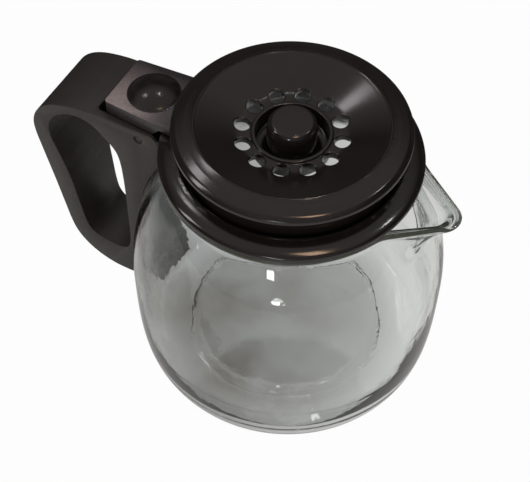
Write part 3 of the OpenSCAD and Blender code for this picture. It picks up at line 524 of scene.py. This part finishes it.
def noise(tree, where, scale, detail=4.0, rough=0.55, stretch=None):
    """Noise whose grains are 1/scale metres, stretched along an axis if asked."""
    if stretch:
        mapping = tree.nodes.new("ShaderNodeMapping")
        mapping.inputs["Scale"].default_value = stretch
        tree.links.new(where, mapping.inputs["Vector"])
        where = mapping.outputs["Vector"]
    node = tree.nodes.new("ShaderNodeTexNoise")
    node.inputs["Scale"].default_value = scale
    node.inputs["Detail"].default_value = detail
    node.inputs["Roughness"].default_value = rough
    tree.links.new(where, node.inputs["Vector"])
    return node.outputs["Fac"]


def spread(tree, value, low, high, to_low, to_high):
    """Maps low..high to to_low..to_high and stops at the ends."""
    node = tree.nodes.new("ShaderNodeMapRange")
    for key, number in (("From Min", low), ("From Max", high),
                        ("To Min", to_low), ("To Max", to_high)):
        node.inputs[key].default_value = number
    tree.links.new(value, node.inputs["Value"])
    return node.outputs["Result"]


def two_colours(tree, value, first, second):
    """First colour where the value is 0 and second where it is 1."""
    node = tree.nodes.new("ShaderNodeMix")
    node.data_type = "RGBA"
    for key, colour in (("A", first), ("B", second)):
        if isinstance(colour, tuple):
            node.inputs[key].default_value = (*colour, 1)
        else:
            tree.links.new(colour, node.inputs[key])
    tree.links.new(value, node.inputs["Factor"])
    return node.outputs["Result"]


def blend(tree, value, low, high, first, second):
    """First colour up to low, second from high, and mixed between them."""
    return two_colours(tree, spread(tree, value, low, high, 0, 1), first, second)


def added(tree, a, b, how="ADD"):
    """Sum, product, power or maximum of two values."""
    node = tree.nodes.new("ShaderNodeMath")
    node.operation = how
    for i, v in enumerate((a, b)):
        if isinstance(v, (int, float)):
            node.inputs[i].default_value = v
        else:
            tree.links.new(v, node.inputs[i])
    return node.outputs["Value"]


def bumped(tree, shader, height, distance, strength=1.0):
    """Tilts the surface as if it rose by height x distance metres."""
    node = tree.nodes.new("ShaderNodeBump")
    node.inputs["Distance"].default_value = distance
    node.inputs["Strength"].default_value = strength
    tree.links.new(height, node.inputs["Height"])
    tree.links.new(node.outputs["Normal"], shader.inputs["Normal"])


def part_of(tree, where, axis):
    """One coordinate of a vector."""
    node = tree.nodes.new("ShaderNodeSeparateXYZ")
    tree.links.new(where, node.inputs["Vector"])
    return node.outputs[axis]


def measured(tree, where, how, other=(0, 0, 0)):
    """DISTANCE of a point from another, or its DOT_PRODUCT with a direction."""
    node = tree.nodes.new("ShaderNodeVectorMath")
    node.operation = how
    tree.links.new(where, node.inputs[0])
    node.inputs[1].default_value = other
    return node.outputs["Value"]


# %% [markdown]
# The glass is thick soda-lime glass. Its two faces are nearly but not quite
# parallel, and a faint waviness bends what is seen through it into streaks: a
# slow sag, a ripple and a fine crinkle, all weaker in the foot. A little green is
# left by the iron in it. The green is in the volume and not on the skin, so the
# light picks it up along its way. The melted rim is painted bright: a greenish
# diffuse share stands in for the light that the wall pipes to its edge.

# %% Glass
def clear_glass():
    """Clear glass with a wavy skin, a green tint in its depth and a rim painted bright by a
    diffuse share.
    """
    material, tree, shader, where = finish("clear blown glass")
    shader.inputs["Base Color"].default_value = (0.97, 0.985, 0.975, 1)
    shader.inputs["Transmission Weight"].default_value = 1.0
    shader.inputs["Roughness"].default_value = 0.0
    shader.inputs["IOR"].default_value = 1.5
    sag = noise(tree, where, 16, 2, 0.4, (1, 1, 0.35))
    ripple = noise(tree, where, 60, 2, 0.5, (1, 1, 0.5))
    crinkle = noise(tree, where, 210, 2, 0.5)
    height = added(tree, sag, added(tree, ripple, 0.2, "MULTIPLY"))
    height = added(tree, height, added(tree, crinkle, 0.042, "MULTIPLY"))
    up = part_of(tree, where, "Z")
    wall_only = spread(tree, up, 0.006, 0.030, 0.25, 1)
    bumped(tree, shader, added(tree, height, wall_only, "MULTIPLY"), 0.0016, 0.6)
    # Painted light: a greenish diffuse share on the rim stands in for light piped along the wall
    # to its edge.
    patches = noise(tree, where, 70, 3)
    edge_light_colour = blend(tree, patches, 0.42, 0.6, (0.30, 0.34, 0.22), (0.42, 0.44, 0.38))
    edge = tree.nodes.new("ShaderNodeBsdfDiffuse")
    tree.links.new(edge_light_colour, edge.inputs["Color"])
    mix = tree.nodes.new("ShaderNodeMixShader")
    tree.links.new(spread(tree, up, 0.1262, 0.1275, 0, 0.28), mix.inputs["Fac"])
    tree.links.new(shader.outputs["BSDF"], mix.inputs[1])
    tree.links.new(edge.outputs["BSDF"], mix.inputs[2])
    out = tree.nodes["Material Output"]
    tree.links.new(mix.outputs["Shader"], out.inputs["Surface"])
    absorb = tree.nodes.new("ShaderNodeVolumeAbsorption")
    absorb.inputs["Color"].default_value = (0.72, 0.86, 0.78, 1)
    absorb.inputs["Density"].default_value = 8.0
    tree.links.new(absorb.outputs["Volume"], out.inputs["Volume"])
    return material


glass = clear_glass()
print(f"{glass.name}: {len(glass.node_tree.nodes)} nodes")

# %% [markdown]
# Lid, collar, knob and dome come from polished moulds: a very dark brown-black
# with a soft shine, a faint orange-peel, fine dust and a few hair scratches from
# washing. All of this is finer than a mesh could be, so it is in the shader.

# %% Polished plastic
PEEL_M = 0.00002


def glossy_plastic(name="polished dark plastic", shine=0.55):
    """Polished plastic. shine is its specular level."""
    material, tree, shader, where = finish(name)
    cloud = noise(tree, where, 22, 3)
    colour = blend(tree, cloud, 0.35, 0.65, (0.0150, 0.0112, 0.0095), (0.0195, 0.0150, 0.0130))
    dust = spread(tree, noise(tree, where, 900, 2, 0.7), 0.72, 0.78, 0, 0.4)
    colour = two_colours(tree, dust, colour, (0.10, 0.09, 0.085))
    tree.links.new(colour, shader.inputs["Base Color"])
    hair = noise(tree, where, 260, 3, 0.6, (0.12, 1.6, 1))
    scratch = spread(tree, hair, 0.62, 0.70, 0, 0.06)
    base = spread(tree, noise(tree, where, 45, 3), 0.3, 0.7, 0.13, 0.17)
    rough = added(tree, added(tree, base, scratch), added(tree, dust, 0.3, "MULTIPLY"))
    tree.links.new(rough, shader.inputs["Roughness"])
    shader.inputs["Specular IOR Level"].default_value = shine
    bumped(tree, shader, noise(tree, where, 420, 2, 0.5), PEEL_M, 0.3)
    return material


gloss = glossy_plastic()
button = glossy_plastic("polished thumb dome", 0.5)
print("polished:", gloss.name, "and", button.name)

# %% [markdown]
# The handle and the lever come from eroded moulds, so they are satin. The lever's
# top is slightly crowned, and near its left corner its upward faces get a painted
# highlight: a paler colour that stands in for a lamp's sheen.
# The crown is a tilt in the shader, as if the corners were a millimetre lower: the
# flat face stays as it was measured. The pin is blackened steel, which looks much
# the same as satin plastic.

# %% Satin plastic
CROWN = 6.0


def satin_plastic(name, light, dark, low, high, grain, depth, crown=None, painted_sheen=None):
    """Eroded plastic. A crown is the middle of a top face that falls away from it as
    CROWN times the distance squared. The last argument is a place and a paler colour
    painted on upward faces there, a painted highlight that is gone 30 mm further out."""
    material, tree, shader, where = finish(name)
    cloud = noise(tree, where, 30, 3)
    fine = noise(tree, where, grain, 3, 0.6)
    colour = blend(tree, cloud, 0.35, 0.65, dark, light)
    # Painted highlight: upward faces near the place get a paler colour, as a lamp's sheen.
    if painted_sheen:
        place, pale = painted_sheen
        near = spread(tree, measured(tree, where, "DISTANCE", place), 0.004, 0.030, 1, 0)
        facing = tree.nodes.new("ShaderNodeTexCoord").outputs["Normal"]
        upward = spread(tree, part_of(tree, facing, "Z"), 0.75, 0.95, 0, 1)
        sheen_mask = added(tree, near, spread(tree, fine, 0.3, 0.7, 0.7, 1.3), "MULTIPLY")
        colour = two_colours(tree, added(tree, sheen_mask, upward, "MULTIPLY"), colour, pale)
    tree.links.new(colour, shader.inputs["Base Color"])
    tree.links.new(spread(tree, fine, 0.3, 0.7, low, high), shader.inputs["Roughness"])
    shader.inputs["Specular IOR Level"].default_value = 0.5
    height = fine
    if crown:
        squared = added(tree, measured(tree, where, "DISTANCE", crown), 2, "POWER")
        height = added(tree, fine, added(tree, squared, -CROWN / depth, "MULTIPLY"))
    bumped(tree, shader, height, depth, 1.0 if crown else 0.5)
    return material


satin = satin_plastic(
    "satin dark plastic", (0.042, 0.035, 0.030), (0.032, 0.027, 0.024), 0.42, 0.54, 700, 0.00004)
# The grained lever gets a painted highlight, paler on its top near the left corner.
grained = satin_plastic(
    "grained dark plastic", (0.060, 0.050, 0.052), (0.042, 0.034, 0.036), 0.24, 0.38,
    1600, 0.00003, crown=(-0.070, 0, 0.134),
    painted_sheen=((-0.0845, -0.0155, 0.134), (0.42, 0.335, 0.31)))
blacked = satin_plastic(
    "blackened steel", (0.030, 0.029, 0.029), (0.018, 0.017, 0.017), 0.35, 0.5, 900, 0.00003)
print("satin:", ", ".join(m.name for m in (satin, grained, blacked)))

# %% [markdown]
# The screws are drawn steel with fine turning marks, and the seal is matt silicone
# with a bloom of dust. Both hardly show, so a few nodes are enough for each.

# %% Steel and silicone
def turned_steel():
    """Bright steel with fine turning marks."""
    material, tree, shader, where = finish("turned steel")
    shader.inputs["Metallic"].default_value = 1.0
    marks = noise(tree, where, 900, 3, 0.6, (0.1, 1, 1))
    colour = two_colours(tree, marks, (0.50, 0.50, 0.52), (0.66, 0.66, 0.68))
    tree.links.new(colour, shader.inputs["Base Color"])
    tree.links.new(spread(tree, marks, 0.3, 0.7, 0.25, 0.42), shader.inputs["Roughness"])
    bumped(tree, shader, marks, 0.00003, 0.4)
    return material


def soft_silicone():
    """Dark silicone, matt and a little dusty."""
    material, tree, shader, where = finish("matt silicone")
    cloud = noise(tree, where, 120, 4)
    colour = two_colours(tree, cloud, (0.05, 0.05, 0.052), (0.10, 0.10, 0.105))
    tree.links.new(colour, shader.inputs["Base Color"])
    tree.links.new(spread(tree, cloud, 0.3, 0.7, 0.6, 0.8), shader.inputs["Roughness"])
    bumped(tree, shader, cloud, 0.00005, 0.4)
    return material


steel, silicone = turned_steel(), soft_silicone()
print("hidden pieces:", steel.name, "and", silicone.name)

# %% [markdown]
# Each new piece gets one finish. The pin, the screws and the seal are measured
# pieces whose shape is right already, so they stay and get theirs in their slots.

# %% Put the finishes on
def wear(piece, material):
    """Gives a piece its one material."""
    piece.data.materials.clear()
    piece.data.materials.append(material)


wear(bowl, glass)
for piece in (collar, lid_plate, skirt, knob):
    wear(piece, gloss)
for piece, material in ((dome, button), (handle, satin), (lever, grained)):
    wear(piece, material)
for node, material in (("hinge_pin", blacked), ("handle_screws", steel),
                       ("lever_screws", steel), ("rim_seal", silicone)):
    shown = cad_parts[node]
    if not shown.material_slots:
        shown.data.materials.append(material)
    for place in shown.material_slots:
        place.material = material
    print(f"{node} wears {material.name}")

# %% [markdown]
# ## Floor, light and camera
# The photograph is a cut-out on white, but the bowl shows the room that it stood
# in: patchy greys, paler on the right. So the floor and the world are white where
# the camera looks straight at them, and have the room's greys where they are seen
# through the glass or mirrored. The world lights the object with a plain grey.

# %% Directions as the camera sees them
PHOTO_WIDTH, FOCAL_PX, DISTANCE = 530, 1250.0, 600.74
ELEVATION, AZIMUTH, ROLL = math.radians(52.86), math.radians(27.5), math.radians(0.51)
UPWARDS = Vector((0, 0, 1))
right = Vector((math.cos(AZIMUTH), math.sin(AZIMUTH), 0))
front = Vector((math.sin(AZIMUTH), -math.cos(AZIMUTH), 0))
print("the camera looks along", [round(-v, 3) for v in front])

# %% [markdown]
# A floor that looks white from above and grey through the bowl could be two floors,
# but they would fight over the shadow. The Light Path node tells how a ray came to
# a surface, so one floor can answer each kind of ray with its own colour.

# %% How the floor and the world are seen
def seen_as(tree, pale, through, mirrored, direct):
    """One colour for each way of looking: straight, through glass, in a mirror, and as light."""
    path = tree.nodes.new("ShaderNodeLightPath")
    ways = (("Is Glossy Ray", mirrored), ("Is Transmission Ray", through), ("Is Camera Ray", pale))
    colour = direct
    for test, seen in ways:
        colour = two_colours(tree, path.outputs[test], colour, seen)
    return colour, [path.outputs[test] for test, _ in ways]


def along(tree, where, direction, low, high, first, second):
    """First colour up to low and second from high, in metres along a direction."""
    return blend(tree, measured(tree, where, "DOT_PRODUCT", direction), low, high, first, second)


def streaks(tree, where, scale, dark, light):
    """Soft grey patches, as a room gives them."""
    return blend(tree, noise(tree, where, scale, 2, 0.5), 0.38, 0.62, dark, light)


# %% [markdown]
# On the floor the greys change with the place: a painted shadow of bowl and lid
# makes them darkest under the bowl, and painted light makes them paler beside it
# and to the right. Two dark places stand for the shade behind the carafe, which
# the rear brew holes look into, and what the floor mirrors is dark behind it too.
# The shadow stays in all of it, because a little of the floor is plain white paper.

# %% Floor
HALF_SIZE, BELOW = 1500, -0.0002
corners = [(x * HALF_SIZE, y * HALF_SIZE, 0) for x, y in ((-1, -1), (1, -1), (1, 1), (-1, 1))]
floor = put_mesh("floor", corners, [(0, 1, 2, 3)])
floor.data.transform(Matrix.Translation(UPWARDS * BELOW))
print(f"floor: {2 * HALF_SIZE * MM:.0f} m wide, {-BELOW / MM:.1f} mm under the foot")

# %% White paper, and the greys it shows
PAPER_SHARE, BLACK, WHITE = 0.025, (0.0, 0.0, 0.0), (1.0, 1.0, 1.0)
paper, tree, shader, where = finish("white paper")
shader.inputs["Roughness"].default_value = 0.9
fibre = two_colours(tree, noise(tree, where, 8), (0.80, 0.80, 0.80), (0.84, 0.84, 0.84))
tree.links.new(fibre, shader.inputs["Base Color"])
away = measured(tree, where, "DISTANCE")
# Painted shadow under the bowl, and painted light paler towards the right and beside it.
under = streaks(tree, where, 24, (0.110, 0.099, 0.086), (0.215, 0.215, 0.21))
under = along(tree, where, right, -0.02, 0.065, under, (0.40, 0.40, 0.40))
beside = streaks(tree, where, 20, (0.23, 0.225, 0.215), (0.38, 0.38, 0.39))
beside = along(tree, where, right, -0.06, 0.07, beside, (0.68, 0.675, 0.67))
grey = blend(tree, away, 0.046, 0.068, under, beside)
grey = blend(tree, away, 0.13, 0.45, grey, (0.26, 0.25, 0.24))
# Painted shade behind the carafe: two dark places seen through the glass.
grey = along(tree, where, -front, 0.140, 0.147, grey, (0.012, 0.011, 0.012))
shade = measured(tree, where, "DISTANCE", front * -0.074)
grey = blend(tree, shade, 0.016, 0.024, (0.03, 0.03, 0.03), grey)
table = blend(tree, away, 0.09, 0.17, (0.48, 0.47, 0.46), (0.60, 0.575, 0.55))
# Painted shade: what the floor mirrors is dark behind the carafe.
table = along(tree, where, -front, 0.08, 0.16, table, (0.02, 0.02, 0.02))
colour, ways = seen_as(tree, WHITE, grey, table, BLACK)
glow = tree.nodes.new("ShaderNodeEmission")
tree.links.new(colour, glow.inputs["Color"])
glow.inputs["Strength"].default_value = 1.0
looked = added(tree, added(tree, ways[0], ways[1], "MAXIMUM"), ways[2], "MAXIMUM")
mix = tree.nodes.new("ShaderNodeMixShader")
tree.links.new(added(tree, looked, 1 - PAPER_SHARE, "MULTIPLY"), mix.inputs["Fac"])
tree.links.new(shader.outputs["BSDF"], mix.inputs[1])
tree.links.new(glow.outputs["Emission"], mix.inputs[2])
tree.links.new(mix.outputs["Shader"], tree.nodes["Material Output"].inputs["Surface"])
wear(floor, paper)
print(f"{paper.name}: {len(tree.nodes)} nodes")

# %% [markdown]
# The room is seen through the glass as greys that get paler upwards. Mirrored in
# the plastic it is dim, with a soft glow overhead and another in front.

# %% World
world = bpy.data.worlds.new("studio")
bpy.context.scene.world = world
world.use_nodes = True
tree = world.node_tree
back = tree.nodes["Background"]
where = tree.nodes.new("ShaderNodeTexCoord").outputs["Generated"]
grey = streaks(tree, where, 7, (0.28, 0.27, 0.265), (0.50, 0.485, 0.47))
grey = along(tree, where, UPWARDS, 0.05, 0.75, grey, (0.80, 0.80, 0.82))
dim = streaks(tree, where, 3, (0.02, 0.019, 0.019), (0.08, 0.075, 0.075))
dim = along(tree, where, UPWARDS, 0.55, 0.80, dim, (0.44, 0.41, 0.405))
ahead = (front * 0.86 + UPWARDS * 0.5).normalized()
dim = along(tree, where, ahead, 0.55, 0.95, dim, (0.30, 0.285, 0.28))
colour, ways = seen_as(tree, WHITE, grey, dim, (0.28, 0.28, 0.29))
tree.links.new(colour, back.inputs["Color"])
back.inputs["Strength"].default_value = 1.0
print(f"{world.name}: {len(tree.nodes)} nodes")

# %% [markdown]
# The camera stands where the photographer stood, 0.6 m away and 53 degrees above
# the table. Both were worked out from the ellipses of lid, collar and bowl, and
# they show in how fast the carafe narrows downwards. The focal length is known as
# a number of picture points, so it becomes a share of the sensor's width.

# %% Camera at the photograph's angle
SENSOR = 36.0
back_dir = front * math.cos(ELEVATION) + UPWARDS * math.sin(ELEVATION)
up = back_dir.cross(right)
side_dir = right * math.cos(ROLL) + up * math.sin(ROLL)
up_dir = -right * math.sin(ROLL) + up * math.cos(ROLL)
aim_at = UPWARDS * 66.1 + right * -11.25
lens = bpy.data.cameras.new("camera")
lens.sensor_fit, lens.sensor_width = "HORIZONTAL", SENSOR
lens.lens = FOCAL_PX * SENSOR / PHOTO_WIDTH
camera = bpy.data.objects.new("camera", lens)
bpy.context.scene.collection.objects.link(camera)
turn = Matrix((side_dir, up_dir, back_dir)).transposed().to_4x4()
camera.matrix_world = Matrix.Translation((aim_at + back_dir * DISTANCE) * MM) @ turn
lens.clip_start, lens.clip_end = 0.01, 20
bpy.context.scene.camera = camera
bpy.context.scene.view_settings.view_transform = "Standard"
print("camera:", [round(v, 4) for v in camera.location])

# %% [markdown]
# The highlights tell where the lamps stood. The spot on the thumb dome comes from
# a small lamp almost overhead, the long highlights on rim and collar from a window
# high on the left, and the sheen of the dish from a softbox behind. Two lamps in
# front make the white spots on the bowl, one on the right the glints in its foot,
# and a warm card the orange patches on collar and knob. The card is seen only
# where it is mirrored, so it doesn't tint the dull surfaces.

# %% Lamps
def lamp(name, target, direction, distance, size, radiance, colour=(1, 1, 1)):
    """A soft rectangular lamp. direction is (right, front, up) as the camera sees it,
    and the power follows from the lamp's area and from how bright it looks."""
    light = bpy.data.lights.new(name, "AREA")
    light.shape, light.size, light.size_y = "RECTANGLE", size[0], size[1]
    light.energy, light.color = radiance * math.pi * size[0] * size[1], colour
    holder = bpy.data.objects.new(name, light)
    bpy.context.scene.collection.objects.link(holder)
    a, b, c = direction
    away = (right * a + front * b + UPWARDS * c).normalized()
    holder.location = Vector(target) + away * distance
    holder.rotation_mode = "QUATERNION"
    holder.rotation_quaternion = away.to_track_quat("Z", "Y")
    print(f"{name}: {light.energy:.2f} W")
    return holder


lamp("overhead lamp", (-0.070, 0, 0.138), (0.124, -0.421, 0.899), 1.3, (0.06, 0.06), 50)
lamp("left window", (-0.02, -0.02, 0.15), (-0.82, 0.05, 0.57), 1.0, (0.16, 0.34), 7,
     (1.0, 0.94, 0.95))
lamp("rear softbox", (-0.02, -0.02, 0.134), (-0.39, -0.39, 0.834), 1.2, (0.13, 0.13), 7,
     (1.0, 0.93, 0.96))
lamp("front lamp", (0.018, -0.053, 0.114), (-0.228, 0.93, 0.289), 1.0, (0.13, 0.07), 22)
lamp("low front lamp", (0.023, -0.058, 0.104), (-0.138, 0.985, 0.030), 1.0, (0.10, 0.04), 22)
lamp("right lamp", (0.03, -0.02, 0.01), (0.55, -0.10, 0.83), 1.0, (0.10, 0.05), 24)
card = lamp("warm card", (0.033, -0.046, 0.132), (0.18, 0.31, 0.93), 0.75, (0.15, 0.27), 9,
            (1.0, 0.66, 0.44))
card.visible_diffuse = False
